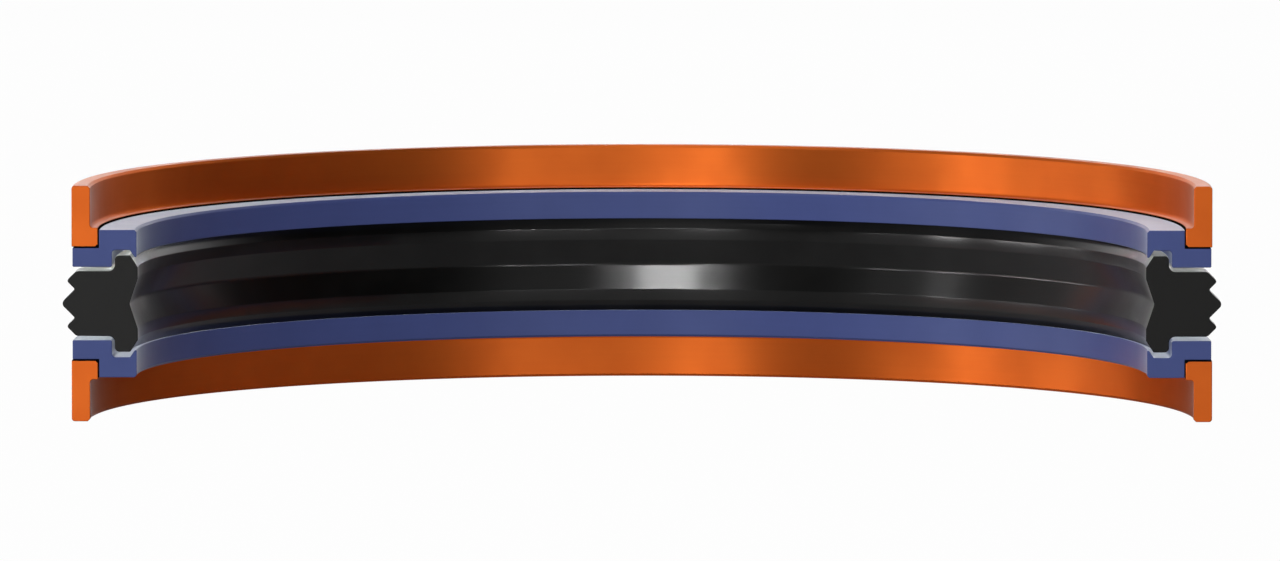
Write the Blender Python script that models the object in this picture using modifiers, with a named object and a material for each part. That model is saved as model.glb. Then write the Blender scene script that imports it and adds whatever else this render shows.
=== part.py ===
"""Five-piece compact piston seal for a 250 mm bore, as a half section.

Two L-section guide rings, two stepped backup rings and one lipped rubber seal
element share one axis. The rings are turned whole and then cut in half through
the axis, so that the cut faces look along -Y and show how the pieces nest.

Lengths are in metres and +Z runs along the ring axis. The model's origin is the
middle of the base of its box. Run it with blender --background --python part.py,
or from Blender's text editor.
"""

from math import atan2, cos, pi, radians, sin, tan
from typing import NamedTuple

import bmesh
import bpy
from mathutils import Matrix, Vector

# The whole seal
BORE_RADIUS = 0.125
SECTION_DEPTH = 0.01426
OVERALL_HEIGHT = 0.0518
GROOVE_HEIGHT = 0.0324

# Clearances between neighbours
SEAT_GAP = 0.0003
SHOULDER_GAP = 0.00095
BEAD_SIDE_GAP = 0.00062
BEAD_END_GAP = 0.0012

# Guide ring, an L section with its foot on the backup ring
GUIDE_WALL = 0.00406
GUIDE_FOOT_REACH = 0.00169
GUIDE_FOOT_THICKNESS = 0.0042
GUIDE_LEDGE_STEP = 0.0005
GUIDE_LEAD_ROUND = 0.0007
GUIDE_MOUTH_CHAMFER = 0.00055
GUIDE_FOOT_CHAMFER = 0.0005
GUIDE_LEDGE_FILLET = 0.0007

# Backup ring, a stepped section with a groove for the seal element's bead
FLANGE_SETBACK = 0.0002
FLANGE_THICKNESS = 0.00413
FLANGE_EDGE_CHAMFER = 0.0002
STEP_FILLET = 0.0003
BACKUP_BORE_CHAMFER = 0.0005
GROOVE_DEPTH = 0.00372
GROOVE_FILLET = 0.0008
GROOVE_INNER_FILLET = 0.0003
GROOVE_MOUTH_ROUND = 0.0004
LIP_SETBACK = 0.00218
LIP_LAND = 0.00045
LIP_SLOPE = radians(33)

# Rubber seal element: three lips outside, a bead at each end, a V groove inside
BORE_SQUEEZE = 0.00026
LIP_ANGLE = radians(45)
MAIN_LIP_PROUD = 0.0024
MAIN_LIP_ROUND = 0.00105
SIDE_LIP_PROUD = 0.0011
SIDE_LIP_SETBACK = 0.00212
SIDE_LIP_ROUND = 0.00057
VALLEY_ROUND = 0.00045
SHOULDER_ROUND = 0.00105
BEAD_WIDTH = 0.00505
BEAD_ROUND = 0.001
BEAD_ROOT_FILLET = 0.0014
INNER_LAND = 0.0025
V_DEPTH = 0.00184
V_ROUND = 0.0012

# How finely the turned shapes are divided
TURN_STEPS = 112
SHARP_EDGE_ANGLE = radians(28)
LONGEST_CUT_SHARE = 0.48
CUTTER_MARGIN = 0.01

# Guide ring, worked out from the bore inwards and from the seal's ends
guide_inner = BORE_RADIUS - GUIDE_WALL
foot_inner = guide_inner - GUIDE_FOOT_REACH
end_face = GROOVE_HEIGHT / 2
guide_end = OVERALL_HEIGHT / 2
ledge = end_face + GUIDE_LEDGE_STEP
foot_bottom = ledge - GUIDE_FOOT_THICKNESS

# Backup ring, stepped to carry the guide ring's foot
flange_outer = BORE_RADIUS - FLANGE_SETBACK
step_wall = foot_inner - SEAT_GAP
backup_inner = BORE_RADIUS - SECTION_DEPTH
flange_top = foot_bottom - SEAT_GAP
flange_bottom = flange_top - FLANGE_THICKNESS
groove_ceiling = flange_bottom + GROOVE_DEPTH
lip_end = flange_bottom + LIP_SETBACK
lip_outer = backup_inner + LIP_LAND
groove_inner = lip_outer + (groove_ceiling - lip_end) * tan(LIP_SLOPE)

# Seal element, whose bead keeps one gap to both sides of its groove
seal_inner = backup_inner - BORE_SQUEEZE
bead_outer = seal_inner + BEAD_WIDTH
groove_outer = bead_outer + BEAD_SIDE_GAP
bead_top = groove_ceiling - BEAD_END_GAP
shoulder = flange_bottom - SHOULDER_GAP
slope_at_lip = lip_outer + BEAD_SIDE_GAP / cos(LIP_SLOPE)
bead_top_inner = slope_at_lip + (bead_top - lip_end) * tan(LIP_SLOPE)
slope_foot = lip_end - (slope_at_lip - seal_inner) / tan(LIP_SLOPE)
v_edge = slope_foot - INNER_LAND

# The lips' theoretical points, before their rounding
main_apex = BORE_RADIUS + MAIN_LIP_PROUD
side_apex = BORE_RADIUS + SIDE_LIP_PROUD
side_lip = shoulder - SIDE_LIP_SETBACK
valley_offset = (side_lip + (main_apex - side_apex) / tan(LIP_ANGLE)) / 2
valley_radius = main_apex - valley_offset * tan(LIP_ANGLE)
shoulder_outer = side_apex - SIDE_LIP_SETBACK * tan(LIP_ANGLE)
v_apex = seal_inner + V_DEPTH


class Corner(NamedTuple):
    """One corner of a ring's section: radius, height, and how its edge is broken."""

    radius: float
    height: float
    cut: float = 0.0
    segments: int = 0

    def mirrored(self):
        """The same corner on the other side of the seal's mid-plane."""
        return self._replace(height=-self.height)


def chamfer(radius, height, width):
    """A corner with a flat chamfer that starts this far from it on both sides."""
    return Corner(radius, height, width, 1)


def fillet(radius, height, size, segments):
    """A corner rounded by an arc of this radius."""
    return Corner(radius, height, size, segments)


def broken_corner(corner, before, after):
    """The points that replace a corner: one if sharp, two for a chamfer, or an arc."""
    here = Vector((corner.radius, corner.height))
    coming = here - Vector((before.radius, before.height))
    going = Vector((after.radius, after.height)) - here
    room = LONGEST_CUT_SHARE * min(coming.length, going.length)
    coming.normalize()
    going.normalize()
    if corner.segments == 0:
        return [here]
    if corner.segments == 1:
        width = min(corner.cut, room)
        return [here - coming * width, here + going * width]
    turn = atan2(coming.cross(going), coming.dot(going))
    size = min(corner.cut, room / abs(tan(turn / 2)))
    tangent = size * abs(tan(turn / 2))
    side = 1 if turn > 0 else -1
    spoke = Vector((coming.y, -coming.x)) * side * size
    centre = here - coming * tangent - spoke
    points = []
    for step in range(corner.segments + 1):
        angle = turn * step / corner.segments
        turned = Matrix.Rotation(angle, 2) @ spoke
        points.append(centre + turned)
    return points


def section_points(corners):
    """The closed outline of a ring's section, as radius and height pairs."""
    points = []
    for index, corner in enumerate(corners):
        before = corners[index - 1]
        after = corners[(index + 1) % len(corners)]
        points += broken_corner(corner, before, after)
    return points


def guide_ring_section():
    """The L section, from its outer end edge down, round the foot and up inside."""
    return section_points([
        fillet(BORE_RADIUS, guide_end, GUIDE_LEAD_ROUND, 3),
        Corner(BORE_RADIUS, foot_bottom),
        chamfer(foot_inner, foot_bottom, GUIDE_FOOT_CHAMFER),
        Corner(foot_inner, ledge),
        fillet(guide_inner, ledge, GUIDE_LEDGE_FILLET, 2),
        chamfer(guide_inner, guide_end, GUIDE_MOUTH_CHAMFER),
    ])


def backup_ring_section():
    """The stepped section, from the flange's outer edge down and through the groove."""
    return section_points([
        Corner(flange_outer, flange_top),
        chamfer(flange_outer, flange_bottom, FLANGE_EDGE_CHAMFER),
        fillet(groove_outer, flange_bottom, GROOVE_MOUTH_ROUND, 2),
        fillet(groove_outer, groove_ceiling, GROOVE_FILLET, 3),
        fillet(groove_inner, groove_ceiling, GROOVE_INNER_FILLET, 2),
        Corner(lip_outer, lip_end),
        Corner(backup_inner, lip_end),
        chamfer(backup_inner, end_face, BACKUP_BORE_CHAMFER),
        Corner(step_wall, end_face),
        fillet(step_wall, flange_top, STEP_FILLET, 2),
    ])


def seal_element_section():
    """The lipped section: its lower half from the main lip in, then its upper half."""
    main_lip = fillet(main_apex, 0, MAIN_LIP_ROUND, 6)
    v_groove = fillet(v_apex, 0, V_ROUND, 3)
    upper = [
        fillet(valley_radius, valley_offset, VALLEY_ROUND, 3),
        fillet(side_apex, side_lip, SIDE_LIP_ROUND, 3),
        fillet(shoulder_outer, shoulder, SHOULDER_ROUND, 2),
        fillet(bead_outer, shoulder, BEAD_ROOT_FILLET, 3),
        fillet(bead_outer, bead_top, BEAD_ROUND, 3),
        Corner(bead_top_inner, bead_top),
        Corner(seal_inner, slope_foot),
        Corner(seal_inner, v_edge),
    ]
    lower = [corner.mirrored() for corner in upper]
    return section_points([main_lip, *lower, v_groove, *reversed(upper)])


def clear_scene():
    """Remove every object of the open scene."""
    for obj in list(bpy.data.objects):
        bpy.data.objects.remove(obj, do_unlink=True)


def new_collection(name):
    """A collection of this name, linked to the scene."""
    collection = bpy.data.collections.new(name)
    bpy.context.scene.collection.children.link(collection)
    return collection


def new_material(name, colour, roughness, specular):
    """A non-metallic Principled material of this colour."""
    material = bpy.data.materials.new(name)
    material.use_nodes = True
    shader = material.node_tree.nodes["Principled BSDF"]
    shader.inputs["Base Color"].default_value = (*colour, 1.0)
    shader.inputs["Roughness"].default_value = roughness
    shader.inputs["Metallic"].default_value = 0.0
    shader.inputs["Specular IOR Level"].default_value = specular
    return material


def section_cutter(collection, centre, reach):
    """A block over the near half of the rings, whose back face holds their axis."""
    width = 2 * (reach + CUTTER_MARGIN)
    depth = reach + CUTTER_MARGIN
    height = OVERALL_HEIGHT + 2 * CUTTER_MARGIN
    place = Matrix.Translation((0, -depth / 2, 0)) @ Matrix.Diagonal((width, depth, height, 1))
    mesh = bpy.data.meshes.new("section_cutter")
    block = bmesh.new()
    bmesh.ops.create_cube(block, size=1, matrix=place)
    block.to_mesh(mesh)
    block.free()
    cutter = bpy.data.objects.new("section_cutter", mesh)
    cutter.hide_render = True
    cutter.display_type = "WIRE"
    cutter.parent = centre
    collection.objects.link(cutter)
    return cutter


def half_ring(name, points, material, cutter):
    """A mesh turned from a section about Z and cut in half by the section cutter.

    The section stands half a step off the cut, so that the cutter crosses the
    middle of a facet and never runs along an edge.
    """
    phase = pi / TURN_STEPS
    outline = [(x * cos(phase), x * sin(phase), z) for x, z in points]
    edges = [(index, (index + 1) % len(outline)) for index in range(len(outline))]
    profile = bpy.data.meshes.new(f"{name}_section")
    profile.from_pydata(outline, edges, [])
    ring = bpy.data.objects.new(f"{name}_whole", profile)
    bpy.context.scene.collection.objects.link(ring)
    ring.parent = cutter.parent

    turn = ring.modifiers.new("Turned", "SCREW")
    turn.axis = "Z"
    turn.angle = 2 * pi
    turn.steps = TURN_STEPS
    turn.render_steps = TURN_STEPS
    turn.use_merge_vertices = False
    cut = ring.modifiers.new("Section", "BOOLEAN")
    cut.operation = "DIFFERENCE"
    cut.solver = "EXACT"
    cut.object = cutter

    bpy.context.view_layer.update()
    evaluated = ring.evaluated_get(bpy.context.evaluated_depsgraph_get())
    mesh = bpy.data.meshes.new_from_object(evaluated)
    bpy.data.objects.remove(ring, do_unlink=True)
    mesh.name = name
    mesh.shade_smooth()
    mesh.set_sharp_from_angle(angle=SHARP_EDGE_ANGLE)
    mesh.materials.clear()
    mesh.materials.append(material)
    return mesh


def place(name, mesh, collection, centre, turned_over=False):
    """One ring under the centre empty; the lower rings are the upper ones turned over."""
    ring = bpy.data.objects.new(name, mesh)
    ring.rotation_euler = (0, pi if turned_over else 0, 0)
    ring.parent = centre
    collection.objects.link(ring)
    return ring


def build():
    """Build the five rings round the centre of the seal."""
    clear_scene()
    parts = new_collection("piston_seal")
    cutters = new_collection("cutters")

    orange = new_material("guide_plastic", (0.78, 0.155, 0.021), 0.42, 0.5)
    blue = new_material("backup_plastic", (0.064, 0.084, 0.228), 0.38, 0.5)
    black = new_material("seal_rubber", (0.026, 0.026, 0.025), 0.5, 0.5)

    seal_points = seal_element_section()
    reach = max(point.x for point in seal_points)
    depth_over_flats = reach * cos(pi / TURN_STEPS)
    centre = bpy.data.objects.new("seal_centre", None)
    centre.location = (0, -depth_over_flats / 2, guide_end)
    centre.empty_display_size = OVERALL_HEIGHT
    parts.objects.link(centre)
    cutter = section_cutter(cutters, centre, reach)

    guide = half_ring("guide_ring", guide_ring_section(), orange, cutter)
    backup = half_ring("backup_ring", backup_ring_section(), blue, cutter)
    seal = half_ring("seal_element", seal_points, black, cutter)

    place("guide_ring_upper", guide, parts, centre)
    place("backup_ring_upper", backup, parts, centre)
    place("seal_element", seal, parts, centre)
    place("backup_ring_lower", backup, parts, centre, turned_over=True)
    place("guide_ring_lower", guide, parts, centre, turned_over=True)


if __name__ == "__main__":
    build()
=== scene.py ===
"""Fine rings, finishes, floor, light and camera for the five-piece piston seal.

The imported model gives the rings' axis, their mid-plane and their main sizes. Each
ring is modelled again here with finer turning, and stands for its CAD node. Lengths
are in metres. A section is drawn on the cut plane, where X is the radius, and its
heights are counted from the seal's mid-plane.
"""

import logging
from dataclasses import dataclass
from enum import Enum
from math import cos, inf, pi, radians, sin, tan
from typing import Any, Callable, NamedTuple, Union

import bmesh
import bpy
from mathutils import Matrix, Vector


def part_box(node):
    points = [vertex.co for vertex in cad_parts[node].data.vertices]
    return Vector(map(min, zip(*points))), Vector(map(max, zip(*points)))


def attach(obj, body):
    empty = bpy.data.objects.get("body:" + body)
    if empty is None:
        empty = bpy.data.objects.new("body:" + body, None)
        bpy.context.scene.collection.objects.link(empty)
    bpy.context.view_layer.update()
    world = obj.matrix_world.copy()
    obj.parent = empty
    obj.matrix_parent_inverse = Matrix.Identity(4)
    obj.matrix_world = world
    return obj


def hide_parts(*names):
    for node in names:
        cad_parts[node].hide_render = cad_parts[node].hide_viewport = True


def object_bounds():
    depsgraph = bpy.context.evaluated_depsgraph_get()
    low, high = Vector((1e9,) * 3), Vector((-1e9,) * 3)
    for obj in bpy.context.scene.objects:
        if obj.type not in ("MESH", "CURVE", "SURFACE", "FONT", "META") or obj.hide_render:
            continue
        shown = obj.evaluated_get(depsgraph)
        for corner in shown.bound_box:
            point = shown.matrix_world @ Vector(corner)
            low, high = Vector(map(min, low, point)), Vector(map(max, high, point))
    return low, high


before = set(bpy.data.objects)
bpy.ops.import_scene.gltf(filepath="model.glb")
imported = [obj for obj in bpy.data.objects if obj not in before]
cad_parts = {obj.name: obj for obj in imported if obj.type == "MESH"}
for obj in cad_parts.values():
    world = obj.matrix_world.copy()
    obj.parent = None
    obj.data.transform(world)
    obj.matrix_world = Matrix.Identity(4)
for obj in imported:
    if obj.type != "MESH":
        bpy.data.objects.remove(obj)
cad_low, cad_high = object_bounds()

CAD_TURN_STEPS = 112
TURN_STEPS = 240
SMOOTH_ANGLE = radians(32)
STRAIGHT_ANGLE = radians(0.1)
FEW_SEGMENTS = 4
USUAL_SEGMENTS = 8
MANY_SEGMENTS = 12
HAIR = 1e-6
CUT_SKIN = 5e-5
CUT_FACING = -0.9
TYPICAL_RADIUS = 0.12
QUARTER_TURN = 0.25
# Faces with this mark are painted near-black as shade between the rings.
SEAT_MARK = "in_seat"
MIX_FIRST = 6
MIX_SECOND = 7
MIX_RESULT = 2
WHITE = (1.0, 1.0, 1.0, 1.0)

Colour = tuple[float, float, float]
log = logging.getLogger("piston_seal")


class Element(Enum):
    """What an edit-mode selection is made of."""

    VERTEX = "VERT"
    EDGE = "EDGE"
    FACE = "FACE"


class Side(Enum):
    """The two ends of the seal, as the sign of their heights."""

    UPPER = 1
    LOWER = -1


class Point(NamedTuple):
    """A point of a section: its radius, and its height from the mid-plane."""

    radius: float
    height: float


@dataclass(frozen=True)
class RingAxis:
    """The axis that all five rings share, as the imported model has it."""

    y: float
    middle: float

    @classmethod
    def of_model(cls) -> "RingAxis":
        """The axis on the cut plane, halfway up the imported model."""
        return cls(cad_low.y, (cad_low.z + cad_high.z) / 2)

    def at(self, point: Point) -> Vector:
        """The place of a section's point on the right-hand cut face."""
        return Vector((point.radius, self.y, self.middle + point.height))

    def centre(self) -> Vector:
        """The middle of the whole seal."""
        return Vector((0, self.y, self.middle))


@dataclass(frozen=True)
class SealSizes:
    """The main sizes that the rings have in common."""

    bore_radius: float
    half_height: float
    half_groove: float
    section_depth: float = 0.01426
    seat_gap: float = 0.0003
    bead_side_gap: float = 0.00062
    bead_end_gap: float = 0.0012
    shoulder_gap: float = 0.00095
    lip_slope: float = radians(33)

    @classmethod
    def of_model(cls, axis: RingAxis) -> "SealSizes":
        """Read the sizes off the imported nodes.

        Args:
            axis: The rings' axis.

        Returns:
            The bore, the overall height and the groove height, halved where said.
        """
        flat_share = cos(pi / CAD_TURN_STEPS)
        guide_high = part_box("guide_ring_upper")[1]
        backup_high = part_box("backup_ring_upper")[1]
        return cls(
            bore_radius=guide_high.x / flat_share,
            half_height=guide_high.z - axis.middle,
            half_groove=backup_high.z - axis.middle,
        )

    @property
    def backup_inner(self) -> float:
        """The backup rings' bore radius."""
        return self.bore_radius - self.section_depth


def select_everything() -> None:
    """Select all of the mesh that is in edit mode."""
    bpy.ops.mesh.select_all(action="SELECT")


def select_where(obj: bpy.types.Object, kind: Element, test: Callable[[Any], bool]) -> None:
    """Select the parts of a mesh in edit mode that pass a test.

    Args:
        obj: The object in edit mode.
        kind: Whether vertices, edges or faces are tested.
        test: Called with each one.
    """
    bpy.ops.mesh.select_mode(type=kind.value)
    bpy.ops.mesh.select_all(action="DESELECT")
    cage = bmesh.from_edit_mesh(obj.data)
    parts = {
        Element.VERTEX: cage.verts,
        Element.EDGE: cage.edges,
        Element.FACE: cage.faces,
    }[kind]
    for part in parts:
        if test(part):
            part.select_set(True)
    cage.select_flush_mode()
    bmesh.update_edit_mesh(obj.data)


class SectionSketch:
    """A ring's section, modelled as a flat face on the cut plane.

    It starts as a rectangle and is cut, grown, trimmed and rounded with edit-mode
    operators, in edit mode until it is turned.
    """

    def __init__(self, axis: RingAxis, low: Point, high: Point) -> None:
        """Add the first rectangle.

        Args:
            axis: The rings' axis.
            low: The rectangle's inner lower corner.
            high: Its outer upper corner.
        """
        self.axis = axis
        middle = Point((low.radius + high.radius) / 2, (low.height + high.height) / 2)
        bpy.ops.mesh.primitive_plane_add(
            size=1, location=axis.at(middle), rotation=(pi / 2, 0, 0)
        )
        self.obj = bpy.context.object
        bpy.ops.object.transform_apply(location=True, rotation=True, scale=True)
        bpy.ops.object.mode_set(mode="EDIT")
        select_everything()
        bpy.ops.transform.resize(
            value=(high.radius - low.radius, 1, high.height - low.height),
            center_override=axis.at(middle),
        )

    def _select_faces(self, test: Callable[[Point], bool]) -> None:
        """Select the faces whose middle passes a test."""

        def by_middle(face: Any) -> bool:
            middle = face.calc_center_median()
            return test(Point(middle.x, middle.z - self.axis.middle))

        select_where(self.obj, Element.FACE, by_middle)

    def _cut(self, through: Point, normal: tuple[float, float, float]) -> None:
        """Cut the selected faces along a line through a point."""
        bpy.ops.mesh.bisect(plane_co=self.axis.at(through), plane_no=normal)

    def cut_at_radius(self, radius: float) -> None:
        """Cut every face along a line parallel to the axis."""
        select_everything()
        self._cut(Point(radius, 0), (1, 0, 0))

    def cut_at_height(self, height: float, inner: float = 0.0, outer: float = inf) -> None:
        """Cut along a line square to the axis.

        Args:
            height: The line's height.
            inner: Faces whose middle lies nearer the axis than this stay whole.
            outer: Faces whose middle lies further out than this stay whole.
        """
        self._select_faces(lambda middle: inner < middle.radius < outer)
        self._cut(Point(0, height), (0, 0, 1))

    def cut_slope(self, through: Point, slope: float) -> None:
        """Cut every face along a line that leans outwards by this angle as it goes up."""
        select_everything()
        self._cut(through, (cos(slope), 0, -sin(slope)))

    def grow_up(self, inner: float, outer: float, height: float, rise: float) -> None:
        """Extrude the level edges between two radii upwards.

        Args:
            inner: The radius where the edges start.
            outer: The radius where they end.
            height: The height that they lie at.
            rise: How far they go up.
        """
        level = self.axis.middle + height

        def on_top(edge: Any) -> bool:
            ends = [vertex.co for vertex in edge.verts]
            lies_level = all(abs(end.z - level) < HAIR for end in ends)
            return lies_level and all(inner - HAIR < end.x < outer + HAIR for end in ends)

        select_where(self.obj, Element.EDGE, on_top)
        bpy.ops.mesh.extrude_region_move(TRANSFORM_OT_translate={"value": (0, 0, rise)})

    def remove(self, test: Callable[[Point], bool]) -> None:
        """Delete the faces whose middle passes a test."""
        self._select_faces(test)
        bpy.ops.mesh.delete(type="FACE")

    def _is_at(self, point: Point) -> Callable[[Any], bool]:
        """A test for vertices at a point."""
        place = self.axis.at(point)
        return lambda vertex: (vertex.co - place).length < HAIR

    def shift(self, start: Point, end: Point) -> None:
        """Move the vertex at one point to another."""
        select_where(self.obj, Element.VERTEX, self._is_at(start))
        bpy.ops.transform.translate(value=self.axis.at(end) - self.axis.at(start))

    def add_lower_half(self) -> None:
        """Copy an upper half, turn the copy over the mid-plane and weld the two."""
        select_everything()
        bpy.ops.mesh.duplicate()
        bpy.ops.transform.resize(value=(1, 1, -1), center_override=self.axis.centre())
        select_everything()
        bpy.ops.mesh.remove_doubles(threshold=HAIR)
        bpy.ops.mesh.normals_make_consistent(inside=False)

    def join(self) -> None:
        """Make one face of all, and drop the points that lie on straight edges."""
        bpy.ops.mesh.select_mode(type="FACE")
        select_everything()
        bpy.ops.mesh.dissolve_faces()
        select_everything()
        bpy.ops.mesh.dissolve_limited(angle_limit=STRAIGHT_ANGLE)

    def chamfer(self, point: Point, width: float) -> None:
        """Cut a corner flat, starting this far from it on both sides."""
        select_where(self.obj, Element.VERTEX, self._is_at(point))
        bpy.ops.mesh.bevel(offset=width, segments=1, affect="VERTICES", clamp_overlap=True)

    def fillet(self, point: Point, radius: float, segments: int = USUAL_SEGMENTS) -> None:
        """Round a corner with an arc.

        Args:
            point: The corner.
            radius: The arc's radius.
            segments: How many straight pieces the arc has.
        """
        is_there = self._is_at(point)
        select_where(self.obj, Element.VERTEX, is_there)
        cage = bmesh.from_edit_mesh(self.obj.data)
        corner = next(vertex for vertex in cage.verts if is_there(vertex))
        first, second = (edge.other_vert(corner).co - corner.co for edge in corner.link_edges)
        offset = radius / tan(first.angle(second) / 2)
        bpy.ops.mesh.bevel(
            offset=offset, segments=segments, affect="VERTICES", profile=0.5, clamp_overlap=True
        )

    def turn(self, edge_break: float) -> bpy.types.Object:
        """Spin the section half round the axis and cap its two cut ends.

        Args:
            edge_break: How wide the cut faces' edges are broken.

        Returns:
            The finished ring, back in object mode.
        """
        select_everything()
        bpy.ops.mesh.delete(type="ONLY_FACE")
        bpy.ops.mesh.select_mode(type="VERT")
        select_everything()
        bpy.ops.mesh.spin(
            steps=TURN_STEPS, angle=-pi, center=self.axis.centre(), axis=(0, 0, 1)
        )
        self._cap(positive=True)
        self._cap(positive=False)
        select_everything()
        bpy.ops.mesh.normals_make_consistent(inside=False)
        self._break_cut_edges(edge_break)
        bpy.ops.object.mode_set(mode="OBJECT")
        bpy.ops.object.shade_smooth_by_angle(angle=SMOOTH_ANGLE)
        return self.obj

    def _cap(self, positive: bool) -> None:
        """Fill the outline on one cut face, on the side of positive or negative X."""

        def on_cut(edge: Any) -> bool:
            ends = [vertex.co for vertex in edge.verts]
            lies_on_cut = all(abs(end.y - self.axis.y) < HAIR for end in ends)
            return lies_on_cut and all((end.x > 0) == positive for end in ends)

        select_where(self.obj, Element.EDGE, on_cut)
        bpy.ops.mesh.edge_face_add()

    def _break_cut_edges(self, width: float) -> None:
        """Draw both cut outlines back and raise a smaller face to the cut plane."""
        select_where(self.obj, Element.VERTEX, lambda v: abs(v.co.y - self.axis.y) < HAIR)
        bpy.ops.transform.translate(value=(0, width, 0))
        drawn_back = self.axis.y + width

        def is_cap(face: Any) -> bool:
            return all(abs(vertex.co.y - drawn_back) < HAIR for vertex in face.verts)

        select_where(self.obj, Element.FACE, is_cap)
        bpy.ops.mesh.inset(thickness=width, depth=width, use_even_offset=True)


class Value:
    """A shader socket whose arithmetic adds Math nodes."""

    def __init__(self, graph: "Graph", socket: bpy.types.NodeSocket) -> None:
        """Wrap a socket of a graph's node."""
        self.graph = graph
        self.socket = socket

    def __add__(self, other: "Number") -> "Value":
        """Self plus a number or a value."""
        return self.graph.maths("ADD", self, other)

    __radd__ = __add__

    def __sub__(self, other: "Number") -> "Value":
        """Self less a number or a value."""
        return self.graph.maths("SUBTRACT", self, other)

    def __rsub__(self, other: "Number") -> "Value":
        """A number less self."""
        return self.graph.maths("SUBTRACT", other, self)

    def __mul__(self, other: "Number") -> "Value":
        """Self times a number or a value."""
        return self.graph.maths("MULTIPLY", self, other)

    __rmul__ = __mul__

    def __lt__(self, other: "Number") -> "Value":
        """One where self is less, else zero."""
        return self.graph.maths("LESS_THAN", self, other)

    def between(self, low: float, high: float) -> "Value":
        """Self mapped from low and high to zero and one, smoothly and without overshoot."""
        node = self.graph.node(
            "ShaderNodeMapRange",
            {"interpolation_type": "SMOOTHSTEP"},
            {"Value": self, "From Min": low, "From Max": high},
        )
        return Value(self.graph, node.outputs["Result"])


Number = Union[float, Value]


class Graph:
    """The nodes of one material or world."""

    def __init__(self, owner: Union[bpy.types.Material, bpy.types.World]) -> None:
        """Start with an empty node tree."""
        owner.use_nodes = True
        self.tree = owner.node_tree
        self.tree.nodes.clear()

    def node(
        self,
        kind: str,
        settings: dict[str, Any] | None = None,
        sockets: dict[Union[str, int], Any] | None = None,
    ) -> bpy.types.Node:
        """Add a node.

        Args:
            kind: The node's type.
            settings: Its own settings, set first.
            sockets: What goes into its inputs, as values or as links.

        Returns:
            The new node.
        """
        node = self.tree.nodes.new(kind)
        for name, setting in (settings or {}).items():
            setattr(node, name, setting)
        for key, given in (sockets or {}).items():
            if isinstance(given, Value):
                self.tree.links.new(given.socket, node.inputs[key])
            elif isinstance(given, bpy.types.NodeSocket):
                self.tree.links.new(given, node.inputs[key])
            else:
                node.inputs[key].default_value = given
        return node

    def maths(self, operation: str, *terms: Number) -> Value:
        """A Math node's result for up to three terms."""
        node = self.node("ShaderNodeMath", {"operation": operation}, dict(enumerate(terms)))
        return Value(self, node.outputs[0])

    def noise(self, place: Any, scale: float, detail: float = 2.0, rough: float = 0.5) -> Value:
        """A Noise Texture's value, mostly between 0.3 and 0.7."""
        sockets = {"Vector": place, "Scale": scale, "Detail": detail, "Roughness": rough}
        return Value(self, self.node("ShaderNodeTexNoise", None, sockets).outputs[0])

    def mix(self, share: Number, first: Colour, second: Colour) -> bpy.types.NodeSocket:
        """A colour between two colours."""
        colours = {MIX_FIRST: (*first, 1.0), MIX_SECOND: (*second, 1.0)}
        node = self.node("ShaderNodeMix", {"data_type": "RGBA"}, {0: share} | colours)
        return node.outputs[MIX_RESULT]

    def show(self, share: Any, first: bpy.types.Node, second: bpy.types.Node) -> None:
        """Send two shaders to the surface, mixed by a value or a socket."""
        sockets = {0: share, 1: first.outputs[0], 2: second.outputs[0]}
        mixed = self.node("ShaderNodeMixShader", None, sockets)
        self.node("ShaderNodeOutputMaterial", None, {"Surface": mixed.outputs[0]})

    def combine(self, x: Number, y: Number, z: Number) -> bpy.types.NodeSocket:
        """A vector of three numbers."""
        return self.node("ShaderNodeCombineXYZ", None, {"X": x, "Y": y, "Z": z}).outputs[0]

    def separate(self, vector: bpy.types.NodeSocket) -> tuple[Value, Value, Value]:
        """The three numbers of a vector."""
        outputs = self.node("ShaderNodeSeparateXYZ", None, {"Vector": vector}).outputs
        x, y, z = (Value(self, output) for output in outputs)
        return x, y, z


@dataclass(frozen=True)
class Rays:
    """Which rays a background answers, each one or zero."""

    camera: Value
    mirrored: Value

    @classmethod
    def of(cls, graph: Graph) -> "Rays":
        """Read the camera's rays, and those by reflection or through glass."""
        outputs = graph.node("ShaderNodeLightPath").outputs
        camera, glossy, clear = (
            Value(graph, outputs[name])
            for name in ("Is Camera Ray", "Is Glossy Ray", "Is Transmission Ray")
        )
        return cls(camera, graph.maths("MAXIMUM", glossy, clear))


@dataclass(frozen=True)
class RingPlace:
    """Where a shading point lies on a ring, for a finish's patterns."""

    radius: Value
    angle: Value
    height: Value
    vector: bpy.types.NodeSocket
    on_cut: Value

    @classmethod
    def of(cls, graph: Graph, axis: RingAxis) -> "RingPlace":
        """Work out the place from Object coordinates about the rings' axis.

        Args:
            graph: The finish's nodes.
            axis: The rings' axis.

        Returns:
            The radius, the angle, the height, all three as a vector from the middle of
            the seal, and a mask that is one on the two cut faces.
        """
        coordinates = graph.node("ShaderNodeTexCoord").outputs["Object"]
        vector = graph.node(
            "ShaderNodeMapping", None, {"Vector": coordinates, "Location": -axis.centre()}
        ).outputs[0]
        x, y, z = graph.separate(vector)
        radius = graph.maths("SQRT", x * x + y * y)
        angle = graph.maths("ARCTAN2", x, y)
        normal = graph.node("ShaderNodeNewGeometry").outputs["Normal"]
        faces_forward = graph.separate(normal)[1] < CUT_FACING
        return cls(radius, angle, z, vector, faces_forward * (y < CUT_SKIN))


class Pattern(NamedTuple):
    """What a finish varies over the surface."""

    share: Value
    roughness: Value
    relief: Value
    skin: Number


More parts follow.
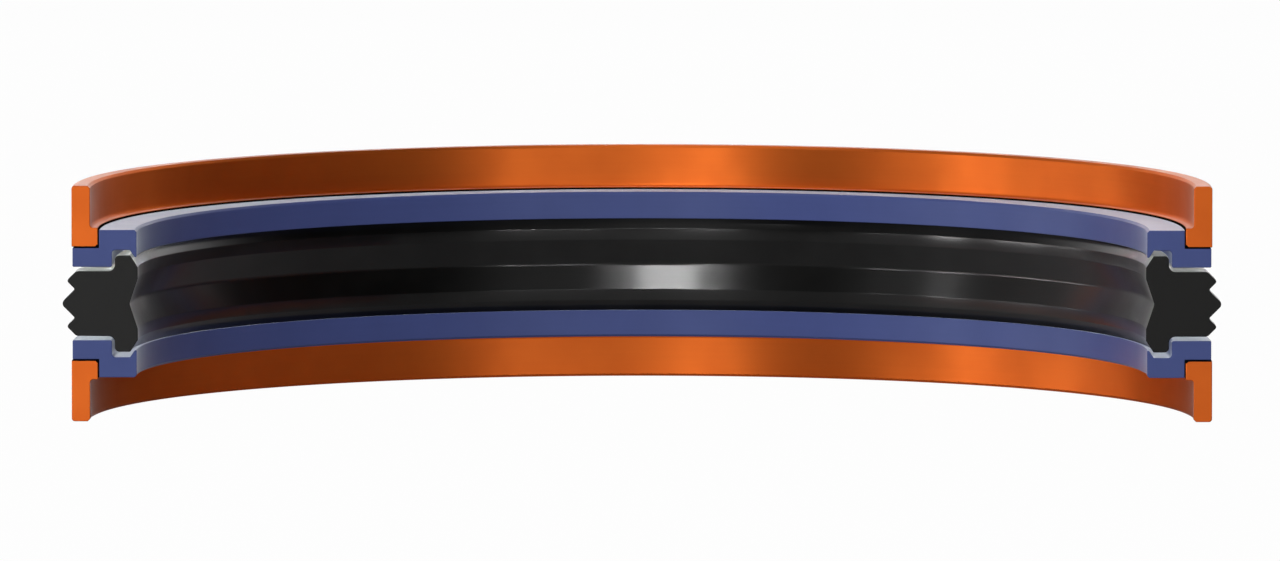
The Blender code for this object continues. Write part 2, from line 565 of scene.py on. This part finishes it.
@dataclass(frozen=True)
class RingFinish:
    """A surface made by turning, with a bloom that shows at a flat angle.

    Its gloss is drawn out across the turning, so that a lamp's reflection spreads into
    an upright band. Where a ring sits against another, its faces are painted a near-black
    diffuse as painted shade, because the shadowless lamps would light the joint. The skin
    is a clear glossy layer. The tint colours the gloss that is seen straight on, or on a
    metallic finish the gloss at a flat angle.
    """

    name: str
    slot: str
    colour: Colour
    second_colour: Colour
    metallic: float
    roughness: float
    drawn_out: float
    specular: float
    bloom: float
    bloom_roughness: float = 0.4
    bloom_colour: Colour = (1.0, 1.0, 1.0)
    skin: float = 0.0
    skin_roughness: float = 0.16
    tint: Colour = (1.0, 1.0, 1.0)
    # Painted shade: the near-black colour put on the faces where rings sit against each other.
    painted_seat_shade: Colour = (0.004, 0.004, 0.004)

    def material(self, axis: RingAxis) -> bpy.types.Material:
        """Build the finish.

        Args:
            axis: The axis that the ring was turned about.

        Returns:
            The material.
        """
        material = bpy.data.materials.new(self.name)
        graph = Graph(material)
        pattern = self.pattern(graph, RingPlace.of(graph, axis))
        bump = graph.node("ShaderNodeBump", None, {"Height": pattern.relief, "Distance": 1.0})
        sockets = {
            "Base Color": graph.mix(pattern.share, self.colour, self.second_colour),
            "Metallic": self.metallic,
            "Roughness": pattern.roughness,
            "Anisotropic": self.drawn_out,
            "Anisotropic Rotation": QUARTER_TURN,
            "Specular IOR Level": self.specular,
            "Specular Tint": (*self.tint, 1.0),
            "Sheen Weight": self.bloom,
            "Sheen Roughness": self.bloom_roughness,
            "Sheen Tint": (*self.bloom_colour, 1.0),
            "Coat Weight": pattern.skin,
            "Coat Roughness": self.skin_roughness,
            "Normal": bump.outputs[0],
        }
        shader = graph.node("ShaderNodeBsdfPrincipled", None, sockets)
        # Painted shade: the marked seat faces show a plain near-black diffuse instead of the
        # finish, for the shade between the rings that the lamps don't cast.
        mark = graph.node("ShaderNodeAttribute", {"attribute_name": SEAT_MARK})
        painted_seat_shade = graph.node("ShaderNodeBsdfDiffuse", None, {"Color": (*self.painted_seat_shade, 1.0)})
        graph.show(mark.outputs["Fac"], shader, painted_seat_shade)
        return material

    def pattern(self, graph: Graph, place: RingPlace) -> Pattern:
        """Work out what varies over the surface."""
        raise NotImplementedError


@dataclass(frozen=True)
class TurnedPlastic(RingFinish):
    """Turned plastic: fine tool marks round it, soft mottling and a milled section."""

    mark_pitch: float = 0.0006
    mark_length: float = 0.03
    mark_depth: float = 0.000001
    mark_share: float = 0.5
    milling_pitch: float = 0.0004
    milling_depth: float = 0.000006
    milling_slant: float = radians(20)
    milling_stretch: float = 0.03
    mottle_size: float = 0.012
    mottle_edges: tuple[float, float] = (0.3, 0.7)
    mottle_share: float = 0.4
    mottle_roughness: float = 0.04
    middle_share: float = 0.5
    cut_roughness: float = 0.1

    def pattern(self, graph: Graph, place: RingPlace) -> Pattern:
        """Tool marks on the turned faces, milling on the cut ones, mottling on all.

        Args:
            graph: The finish's nodes.
            place: Where the shading point lies.

        Returns:
            The second colour's share, the roughness, the relief and the skin.
        """
        marks = self._tool_marks(graph, place)
        milling = self._milling(graph, place)
        mottle = graph.noise(place.vector, 1 / self.mottle_size, detail=3.0)
        mottle = mottle.between(*self.mottle_edges) - 0.5
        turned = 1 - place.on_cut
        share = mottle * self.mottle_share + self.middle_share
        share = share + (marks - 0.5) * self.mark_share * turned
        roughness = self.roughness + mottle * self.mottle_roughness
        roughness = roughness + place.on_cut * self.cut_roughness
        relief = marks * self.mark_depth * turned
        relief = relief + milling * self.milling_depth * place.on_cut
        return Pattern(share, roughness, relief, self.skin)

    def _tool_marks(self, graph: Graph, place: RingPlace) -> Value:
        """Fine marks that run round the ring."""
        across = 1 / self.mark_pitch
        along = TYPICAL_RADIUS / self.mark_length
        where = graph.combine(place.radius * across, place.angle * along, place.height * across)
        return graph.noise(where, 1.0, detail=3.0, rough=0.6)

    def _milling(self, graph: Graph, place: RingPlace) -> Value:
        """Fine marks that run up the cut faces at a slant."""
        sockets = {
            "Vector": place.vector,
            "Rotation": (0, self.milling_slant, 0),
            "Scale": (1, 1, self.milling_stretch),
        }
        stretched = graph.node("ShaderNodeMapping", None, sockets).outputs[0]
        return graph.noise(stretched, 1 / self.milling_pitch)


@dataclass(frozen=True)
class MouldedRubber(RingFinish):
    """Black rubber from a turned mould, with a fine grain and a faint mottling."""

    grain_size: float = 0.0005
    grain_depth: float = 0.000004
    mottle_size: float = 0.01
    mottle_edges: tuple[float, float] = (0.35, 0.75)
    mottle_share: float = 0.2
    mottle_roughness: float = 0.04
    least_skin: float = 0.9
    mottle_skin: float = 0.2

    def pattern(self, graph: Graph, place: RingPlace) -> Pattern:
        """A grain on every face, a faint mottling, and a cut face without the skin.

        Args:
            graph: The finish's nodes.
            place: Where the shading point lies.

        Returns:
            The second colour's share, the roughness, the relief and the skin.
        """
        mottle = graph.noise(place.vector, 1 / self.mottle_size, detail=4.0)
        mottle = mottle.between(*self.mottle_edges)
        grain = graph.noise(place.vector, 1 / self.grain_size)
        moulded = 1 - place.on_cut
        share = mottle * self.mottle_share * moulded + place.on_cut
        roughness = self.roughness + mottle * self.mottle_roughness
        skin = (mottle * self.mottle_skin + self.least_skin) * self.skin * moulded
        return Pattern(share, roughness, grain * self.grain_depth, skin)


GUIDE_FINISH = TurnedPlastic(
    name="orange_turned_plastic",
    slot="guide_plastic",
    colour=(0.80, 0.165, 0.022),
    second_colour=(0.72, 0.140, 0.019),
    metallic=0.8,
    roughness=0.45,
    drawn_out=0.8,
    specular=0.5,
    bloom=0.34,
    bloom_roughness=0.15,
    bloom_colour=(0.75, 0.95, 1.0),
    tint=(0.5, 0.45, 0.4),
)
BACKUP_FINISH = TurnedPlastic(
    name="blue_turned_plastic",
    slot="backup_plastic",
    colour=(0.062, 0.084, 0.248),
    second_colour=(0.054, 0.073, 0.215),
    metallic=0.0,
    roughness=0.45,
    drawn_out=0.7,
    specular=0.3,
    bloom=0.5,
    bloom_roughness=0.22,
    bloom_colour=(0.86, 0.95, 1.0),
    tint=(0.7, 0.8, 1.0),
)
SEAL_FINISH = MouldedRubber(
    name="black_moulded_rubber",
    slot="seal_rubber",
    colour=(0.0018, 0.0018, 0.0017),
    second_colour=(0.010, 0.010, 0.0095),
    metallic=0.0,
    roughness=0.45,
    drawn_out=0.8,
    specular=0.2,
    bloom=0.35,
    bloom_roughness=0.12,
    skin=0.68,
)


@dataclass
class TurnedRing:
    """What the five rings share: a kind, an axis, common sizes and a finish."""

    kind: str
    axis: RingAxis
    sizes: SealSizes
    finish: RingFinish
    edge_break: float = 0.00012
    gloss_setback: float = 0.01

    def section(self) -> SectionSketch:
        """Draw the ring's section."""
        raise NotImplementedError

    def name(self, side: Side) -> str:
        """The piece's name on a side of the seal."""
        return f"{self.kind}_{side.name.lower()}"

    def in_seat(self, point: Point) -> bool:
        """Whether a face with this middle sits against another ring."""
        return False

    def build(self) -> bpy.types.Object:
        """Turn the upper ring from its section, with its finish."""
        ring = self.section().turn(self.edge_break)
        ring.data.materials.append(self.finish.material(self.axis))
        ring.name = f"{self.name(Side.UPPER)}_turned"
        self._mark_seats(ring)
        self._aim_gloss(ring)
        return ring

    def _mark_seats(self, ring: bpy.types.Object) -> None:
        """Mark the turned faces that sit against another ring, which get the painted shade."""
        marks = []
        for face in ring.data.polygons:
            place = face.center - self.axis.centre()
            point = Point(place.xy.length, place.z)
            is_turned = abs(face.normal.y) < 1 - HAIR or place.y > self.edge_break
            marks.append(float(is_turned and self.in_seat(point)))
        layer = ring.data.attributes.new(SEAT_MARK, "FLOAT", "FACE")
        layer.data.foreach_set("value", marks)

    def _aim_gloss(self, ring: bpy.types.Object) -> None:
        """Centre the mesh's texture space near the axis, so that the gloss runs round it.

        The gloss takes its direction from there. The centre lies a little in front of
        the axis, where the direction is still defined on the cut faces.
        """
        ring.data.use_auto_texspace = False
        ring.data.texspace_location = self.axis.centre() - Vector((0, self.gloss_setback, 0))
        ring.data.texspace_size = (1, 1, 1)

    def turned_over(self, ring: bpy.types.Object) -> bpy.types.Object:
        """Copy an upper ring and turn the copy over, as the lower ring.

        Args:
            ring: The finished upper ring.

        Returns:
            The lower ring, with its own mesh.
        """
        bpy.ops.object.select_all(action="DESELECT")
        ring.select_set(True)
        bpy.context.view_layer.objects.active = ring
        bpy.ops.object.duplicate(linked=False)
        lower = bpy.context.object
        bpy.ops.object.mode_set(mode="EDIT")
        select_everything()
        bpy.ops.transform.rotate(
            value=pi, orient_axis="Y", center_override=self.axis.centre()
        )
        bpy.ops.object.mode_set(mode="OBJECT")
        lower.name = f"{self.name(Side.LOWER)}_turned"
        return lower

    def dress(self, ring: bpy.types.Object, side: Side) -> None:
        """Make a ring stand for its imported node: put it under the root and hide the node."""
        node = self.name(side)
        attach(ring, "root")
        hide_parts(node)
        log.info("%s: %d faces, for %s", ring.name, len(ring.data.polygons), node)


@dataclass
class GuideRing(TurnedRing):
    """The L-section ring whose foot stands on the backup ring."""

    wall: float = 0.00406
    foot_reach: float = 0.00169
    foot_thickness: float = 0.0042
    ledge_step: float = 0.0005
    lead_round: float = 0.0007
    mouth_chamfer: float = 0.00055
    foot_chamfer: float = 0.0005
    ledge_fillet: float = 0.0007
    chamfer_in_seat: float = 0.6

    @property
    def inner(self) -> float:
        """The wall's inner radius."""
        return self.sizes.bore_radius - self.wall

    @property
    def ledge(self) -> float:
        """The height of the foot's upper face."""
        return self.sizes.half_groove + self.ledge_step

    @property
    def foot(self) -> Point:
        """The foot's inner lower corner before it is chamfered."""
        return Point(self.inner - self.foot_reach, self.ledge - self.foot_thickness)

    def in_seat(self, point: Point) -> bool:
        """Whether a face lies under the foot or on its inner wall."""
        seat_top = self.foot.height + self.foot_chamfer * self.chamfer_in_seat
        under = point.height < seat_top
        inside = point.radius < self.foot.radius + HAIR and point.height < self.ledge
        return inside or (under and point.radius < self.sizes.bore_radius - self.edge_break)

    def section(self) -> SectionSketch:
        """Draw the foot, grow the wall from it and break the corners."""
        outer = self.sizes.bore_radius
        top = self.sizes.half_height
        low = self.foot
        sketch = SectionSketch(self.axis, low, Point(outer, self.ledge))
        sketch.cut_at_radius(self.inner)
        sketch.grow_up(self.inner, outer, self.ledge, top - self.ledge)
        sketch.join()
        sketch.fillet(Point(outer, top), self.lead_round)
        sketch.chamfer(Point(self.inner, top), self.mouth_chamfer)
        sketch.fillet(Point(self.inner, self.ledge), self.ledge_fillet)
        sketch.chamfer(low, self.foot_chamfer)
        sketch.chamfer(Point(low.radius, self.ledge), self.edge_break)
        sketch.chamfer(Point(outer, low.height), self.edge_break)
        return sketch


@dataclass(kw_only=True)
class BackupRing(TurnedRing):
    """The stepped ring with a groove for the seal element's bead."""

    guide_foot: Point
    flange_setback: float = 0.0002
    flange_thickness: float = 0.00413
    flange_edge_chamfer: float = 0.0002
    step_fillet: float = 0.0003
    bore_chamfer: float = 0.0005
    groove_depth: float = 0.00372
    groove_fillet: float = 0.0008
    groove_inner_fillet: float = 0.0003
    groove_mouth_round: float = 0.0004
    lip_setback: float = 0.00218
    lip_land: float = 0.00045
    bore_squeeze: float = 0.00026
    bead_width: float = 0.00505

    @property
    def outer(self) -> float:
        """The flange's outer radius."""
        return self.sizes.bore_radius - self.flange_setback

    @property
    def step_wall(self) -> float:
        """The radius of the step that the guide ring's foot fits round."""
        return self.guide_foot.radius - self.sizes.seat_gap

    @property
    def flange_top(self) -> float:
        """The height of the face that the guide ring stands on."""
        return self.guide_foot.height - self.sizes.seat_gap

    @property
    def flange_bottom(self) -> float:
        """The height of the flange's face over the seal's shoulder."""
        return self.flange_top - self.flange_thickness

    @property
    def groove_ceiling(self) -> float:
        """The height of the groove's roof."""
        return self.flange_bottom + self.groove_depth

    @property
    def lip_end(self) -> Point:
        """The outer corner of the lip inside the groove."""
        return Point(
            self.sizes.backup_inner + self.lip_land, self.flange_bottom + self.lip_setback
        )

    @property
    def seal_inner(self) -> float:
        """The seal element's inner radius, a little under the backup rings' bore."""
        return self.sizes.backup_inner - self.bore_squeeze

    @property
    def groove_outer(self) -> float:
        """The radius of the groove's outer wall, a gap away from the bead."""
        return self.seal_inner + self.bead_width + self.sizes.bead_side_gap

    @property
    def groove_inner(self) -> float:
        """The radius where the lip's slope meets the groove's roof."""
        rise = self.groove_ceiling - self.lip_end.height
        return self.lip_end.radius + rise * tan(self.sizes.lip_slope)

    def in_seat(self, point: Point) -> bool:
        """Whether a face lies on top of the flange or on the step's wall."""
        above_flange = point.height > self.flange_top - HAIR
        below_end = point.height < self.sizes.half_groove - self.edge_break
        return above_flange and below_end and point.radius > self.step_wall - HAIR

    def section(self) -> SectionSketch:
        """Draw the flange, grow the hub, take the groove out and break the corners."""
        inner = self.sizes.backup_inner
        top = self.sizes.half_groove
        low = Point(inner, self.flange_bottom)
        high = Point(self.outer, self.flange_top)
        sketch = SectionSketch(self.axis, low, high)
        sketch.cut_at_radius(self.step_wall)
        sketch.grow_up(inner, self.step_wall, self.flange_top, top - self.flange_top)
        self._take_groove_out(sketch)
        sketch.join()
        self._break_corners(sketch, inner, top)
        return sketch

    def _take_groove_out(self, sketch: SectionSketch) -> None:
        """Cut round the groove and delete what lies in it."""
        sketch.cut_at_height(self.groove_ceiling)
        sketch.cut_at_radius(self.groove_outer)
        sketch.cut_at_height(self.lip_end.height)
        sketch.cut_slope(self.lip_end, self.sizes.lip_slope)

        def in_groove(point: Point) -> bool:
            if point.radius > self.groove_outer or point.height > self.groove_ceiling:
                return False
            rise = point.height - self.lip_end.height
            slope_at_point = self.lip_end.radius + rise * tan(self.sizes.lip_slope)
            return rise < 0 or point.radius > slope_at_point

        sketch.remove(in_groove)

    def _break_corners(self, sketch: SectionSketch, inner: float, top: float) -> None:
        """Round or chamfer every corner of the section."""
        sketch.chamfer(Point(self.outer, self.flange_bottom), self.flange_edge_chamfer)
        sketch.chamfer(Point(self.outer, self.flange_top), self.edge_break)
        sketch.fillet(Point(self.groove_outer, self.flange_bottom), self.groove_mouth_round)
        sketch.fillet(Point(self.groove_outer, self.groove_ceiling), self.groove_fillet)
        sketch.fillet(Point(self.groove_inner, self.groove_ceiling), self.groove_inner_fillet)
        sketch.chamfer(self.lip_end, self.edge_break)
        sketch.chamfer(Point(inner, self.lip_end.height), self.edge_break)
        sketch.chamfer(Point(inner, top), self.bore_chamfer)
        sketch.chamfer(Point(self.step_wall, top), self.edge_break)
        sketch.fillet(Point(self.step_wall, self.flange_top), self.step_fillet)


@dataclass(kw_only=True)
class SealElement(TurnedRing):
    """The rubber ring: three lips outside, a bead at each end and a V groove inside."""

    flange_bottom: float
    groove_ceiling: float
    lip_end: Point
    inner: float
    bead_width: float
    lip_angle: float = radians(45)
    main_lip_proud: float = 0.0024
    main_lip_round: float = 0.00105
    side_lip_proud: float = 0.0011
    side_lip_setback: float = 0.00212
    side_lip_round: float = 0.00057
    valley_round: float = 0.00045
    shoulder_round: float = 0.00105
    bead_round: float = 0.001
    bead_root_fillet: float = 0.0014
    bead_edge_round: float = 0.00025
    inner_land: float = 0.0025
    v_depth: float = 0.00184
    v_round: float = 0.0012

    @property
    def bead_outer(self) -> float:
        """The beads' outer radius."""
        return self.inner + self.bead_width

    @property
    def bead_top(self) -> float:
        """The height of the upper bead's end."""
        return self.groove_ceiling - self.sizes.bead_end_gap

    @property
    def shoulder(self) -> float:
        """The height of the flat under the upper backup ring's flange."""
        return self.flange_bottom - self.sizes.shoulder_gap

    @property
    def slant_at_lip(self) -> float:
        """The radius of the bead's slanted side beside the backup ring's lip."""
        return self.lip_end.radius + self.sizes.bead_side_gap / cos(self.sizes.lip_slope)

    @property
    def slant_top(self) -> float:
        """The radius where the slanted side meets the bead's end."""
        rise = self.bead_top - self.lip_end.height
        return self.slant_at_lip + rise * tan(self.sizes.lip_slope)

    @property
    def slant_foot(self) -> float:
        """The height where the slanted side meets the inner land."""
        run = self.slant_at_lip - self.inner
        return self.lip_end.height - run / tan(self.sizes.lip_slope)

    @property
    def v_edge(self) -> float:
        """The height of the V groove's upper edge."""
        return self.slant_foot - self.inner_land

    @property
    def v_bottom(self) -> Point:
        """The bottom of the V groove before it is rounded."""
        return Point(self.inner + self.v_depth, 0)

    @property
    def main_lip(self) -> Point:
        """The point of the middle lip before it is rounded."""
        return Point(self.sizes.bore_radius + self.main_lip_proud, 0)

    @property
    def side_lip(self) -> Point:
        """The point of the upper side lip before it is rounded."""
        radius = self.sizes.bore_radius + self.side_lip_proud
        return Point(radius, self.shoulder - self.side_lip_setback)

    @property
    def valley(self) -> Point:
        """The bottom of the upper valley between two lips before it is rounded."""
        lean = tan(self.lip_angle)
        drop = self.main_lip.radius - self.side_lip.radius
        height = (self.side_lip.height + drop / lean) / 2
        return Point(self.main_lip.radius - height * lean, height)

    @property
    def shoulder_outer(self) -> float:
        """The radius where the shoulder meets the side lip."""
        return self.side_lip.radius - self.side_lip_setback * tan(self.lip_angle)

    def name(self, side: Side) -> str:
        """The piece's name, which is the same for both sides."""
        return self.kind

    def section(self) -> SectionSketch:
        """Draw the upper half, copy it downwards and round the corners."""
        low = Point(self.inner, 0)
        high = Point(self.shoulder_outer, self.shoulder)
        sketch = SectionSketch(self.axis, low, high)
        sketch.cut_at_radius(self.bead_outer)
        rise = self.bead_top - self.shoulder
        sketch.grow_up(self.inner, self.bead_outer, self.shoulder, rise)
        self._slant_bead(sketch)
        sketch.cut_at_height(self.v_edge, outer=self.bead_outer)
        sketch.shift(low, self.v_bottom)
        self._draw_lips(sketch)
        sketch.add_lower_half()
        sketch.join()
        sketch.fillet(self.main_lip, self.main_lip_round, MANY_SEGMENTS)
        sketch.fillet(self.v_bottom, self.v_round)
        for side in Side:
            self._round_corners(sketch, side)
        return sketch

    def _slant_bead(self, sketch: SectionSketch) -> None:
        """Cut the upper bead's inner side off at a slant."""
        slope = self.sizes.lip_slope
        sketch.cut_slope(Point(self.inner, self.slant_foot), slope)

        def is_off(point: Point) -> bool:
            rise = point.height - self.slant_foot
            return rise > 0 and point.radius < self.inner + rise * tan(slope)

        sketch.remove(is_off)

    def _draw_lips(self, sketch: SectionSketch) -> None:
        """Draw the outer wall out into the middle lip, a valley and a side lip."""
        wall = self.shoulder_outer
        sketch.cut_at_height(self.side_lip.height, inner=self.bead_outer)
        sketch.cut_at_height(self.valley.height, inner=self.bead_outer)
        for corner in (self.main_lip, self.valley, self.side_lip):
            sketch.shift(Point(wall, corner.height), corner)

    def _round_corners(self, sketch: SectionSketch, side: Side) -> None:
        """Round the corners of the upper or the lower half."""
        few = FEW_SEGMENTS
        usual = USUAL_SEGMENTS
        for corner, rounding, segments in (
            (self.valley, self.valley_round, usual),
            (self.side_lip, self.side_lip_round, usual),
            (Point(self.shoulder_outer, self.shoulder), self.shoulder_round, usual),
            (Point(self.bead_outer, self.shoulder), self.bead_root_fillet, usual),
            (Point(self.bead_outer, self.bead_top), self.bead_round, usual),
            (Point(self.slant_top, self.bead_top), self.bead_edge_round, few),
            (Point(self.inner, self.slant_foot), self.bead_edge_round, few),
            (Point(self.inner, self.v_edge), self.bead_edge_round, few),
        ):
            place = Point(corner.radius, side.value * corner.height)
            sketch.fillet(place, rounding, segments)


def look_from(
    obj: bpy.types.Object, target: Vector, bearing: float, elevation: float, distance: float
) -> None:
    """Put a lamp or camera round a target, looking at it.

    Args:
        obj: The lamp or camera.
        target: What it looks at.
        bearing: The angle to the right of straight in front, in degrees.
        elevation: The angle above level, in degrees.
        distance: How far from the target it stands.
    """
    across, up = radians(bearing), radians(elevation)
    away = Vector((sin(across) * cos(up), -cos(across) * cos(up), sin(up)))
    obj.location = target + away * distance
    obj.rotation_euler = (-away).to_track_quat("-Z", "Y").to_euler()


class Panel(Enum):
    """The soft panels' widths and heights."""

    LOW = (0.18, 0.15)
    TALL = (0.18, 0.40)
    HIGH = (0.25, 0.12)
    WIDE = (0.80, 0.80)


@dataclass(frozen=True)
class SoftLamp:
    """A soft panel that looks at the seal from a bearing and an elevation, in degrees.

    Most of the panels light what they face without a shadow, as in the drawing, where
    no part of the seal shades another.
    """

    name: str
    bearing: float
    elevation: float
    panel: Panel
    brightness: float
    distance: float = 1.2
    casts_shadow: bool = False

    def place(self, target: Vector) -> None:
        """Add the lamp, which no camera sees.

        Args:
            target: What it looks at.
        """
        width, height = self.panel.value
        lamp = bpy.data.lights.new(self.name, "AREA")
        lamp.shape = "RECTANGLE"
        lamp.size = width
        lamp.size_y = height
        lamp.energy = self.brightness * pi * width * height
        lamp.use_shadow = self.casts_shadow
        lamp.cycles.use_multiple_importance_sampling = self.casts_shadow
        obj = bpy.data.objects.new(self.name, lamp)
        bpy.context.scene.collection.objects.link(obj)
        look_from(obj, target, self.bearing, self.elevation, self.distance)
        obj.visible_camera = False


LAMPS = (
    SoftLamp("overhead_lamp", -90, 84, Panel.WIDE, 1.1, casts_shadow=True),
    SoftLamp("rear_lamp", 180, 20, Panel.WIDE, 0.8),
    SoftLamp("key_lamp", -6, 33, Panel.HIGH, 26.5),
    SoftLamp("key_left_lamp", -15, 33, Panel.HIGH, 5.0),
    SoftLamp("key_right_lamp", 3, 33, Panel.HIGH, 3.8),
    SoftLamp("front_lamp", -15, 12.3, Panel.TALL, 9.8),
    SoftLamp("front_right_lamp", 16, 12.3, Panel.TALL, 5.1),
    SoftLamp("right_lamp", 30, 12.3, Panel.TALL, 6.7),
    SoftLamp("front_left_lamp", -60, 12.3, Panel.TALL, 4.9),
    SoftLamp("left_lamp", -78, 12.3, Panel.TALL, 7.6),
    SoftLamp("low_left_lamp", -78, 2.8, Panel.LOW, 12.4),
    SoftLamp("low_side_lamp", -95, 2.8, Panel.LOW, 6.9),
    SoftLamp("low_rear_lamp", -105, 2.8, Panel.LOW, 11.7),
    SoftLamp("low_far_lamp", -120, 2.8, Panel.LOW, 7.0),
)


@dataclass(frozen=True)
class Studio:
    """The pale floor, the white surroundings, the lamps and the camera."""

    axis: RingAxis
    floor_reach: float = 20.0
    floor_colour: Colour = (0.40, 0.40, 0.40)
    floor_glow: float = 0.98
    left_fill: float = 0.36
    front_fill: float = 0.22
    fill_edges: tuple[float, float] = (0.0, 0.9)
    backdrop_edges: tuple[float, float] = (0.3, 0.9)
    backdrop_floor: tuple[float, float] = (0.2, 0.6)
    lens: float = 740.0
    camera_reach: float = 100.0
    camera_bearing: float = 0.5
    camera_elevation: float = 4.56
    view_width: float = 0.2805
    view_shift: Point = Point(-0.0004, 0.00517)

    def build(self) -> None:
        """Set up everything round the seal."""
        bpy.context.scene.view_settings.view_transform = "Standard"
        self._world()
        self._floor()
        for lamp in LAMPS:
            lamp.place(self.axis.centre())
        self._camera()

    def _world(self) -> None:
        """White surroundings where they are seen, and a soft fill from the left and front."""
        world = bpy.data.worlds.new("studio")
        bpy.context.scene.world = world
        graph = Graph(world)
        heading = graph.node("ShaderNodeTexCoord").outputs["Generated"]
        x, y, _ = graph.separate(heading)
        rays = Rays.of(graph)
        behind = y.between(*self.backdrop_edges)
        seen = graph.maths("MAXIMUM", rays.camera, rays.mirrored * behind)
        left = (x * -1).between(*self.fill_edges) * self.left_fill
        front = (y * -1).between(*self.fill_edges) * self.front_fill
        strength = graph.maths("MAXIMUM", seen, (left + front) * (1 - rays.mirrored))
        light = graph.node("ShaderNodeBackground", None, {"Color": WHITE, "Strength": strength})
        graph.node("ShaderNodeOutputWorld", None, {"Surface": light.outputs[0]})

    def _floor(self) -> None:
        """A wide floor that looks white and keeps the seal's shadow."""
        bpy.ops.mesh.primitive_plane_add(size=2 * self.floor_reach, location=(0, 0, cad_low.z))
        floor = bpy.context.object
        floor.name = "studio_floor"
        bpy.ops.object.transform_apply(location=True, rotation=True, scale=True)
        material = bpy.data.materials.new("studio_floor")
        graph = Graph(material)
        place = graph.node("ShaderNodeTexCoord").outputs["Object"]
        backdrop = graph.separate(place)[1].between(*self.backdrop_floor)
        rays = Rays.of(graph)
        seen = graph.maths("MAXIMUM", rays.camera, rays.mirrored * backdrop)
        lit = graph.node("ShaderNodeBsdfDiffuse", None, {"Color": (*self.floor_colour, 1.0)})
        glow = graph.node("ShaderNodeEmission", None, {"Color": WHITE, "Strength": 1.0})
        graph.show(seen * self.floor_glow, lit, glow)
        floor.data.materials.append(material)

    def _camera(self) -> None:
        """A long lens far off, so that the view is almost without perspective."""
        camera = bpy.data.cameras.new("camera")
        camera.lens = self.lens
        camera.clip_end = self.camera_reach
        obj = bpy.data.objects.new("camera", camera)
        bpy.context.scene.collection.objects.link(obj)
        distance = self.view_width * self.lens / camera.sensor_width
        target = self.axis.at(self.view_shift)
        look_from(obj, target, self.camera_bearing, self.camera_elevation, distance)
        bpy.context.scene.camera = obj


def main() -> None:
    """Build the rings from the outside in, then the studio round them."""
    logging.basicConfig(level=logging.INFO, format="%(message)s")
    axis = RingAxis.of_model()
    sizes = SealSizes.of_model(axis)
    guide = GuideRing("guide_ring", axis, sizes, GUIDE_FINISH)
    backup = BackupRing("backup_ring", axis, sizes, BACKUP_FINISH, guide_foot=guide.foot)
    seal = SealElement(
        "seal_element",
        axis,
        sizes,
        SEAL_FINISH,
        flange_bottom=backup.flange_bottom,
        groove_ceiling=backup.groove_ceiling,
        lip_end=backup.lip_end,
        inner=backup.seal_inner,
        bead_width=backup.bead_width,
    )
    for ring in (guide, backup):
        upper = ring.build()
        lower = ring.turned_over(upper)
        ring.dress(upper, Side.UPPER)
        ring.dress(lower, Side.LOWER)
    seal.dress(seal.build(), Side.UPPER)
    Studio(axis).build()


if __name__ == "__main__":
    main()
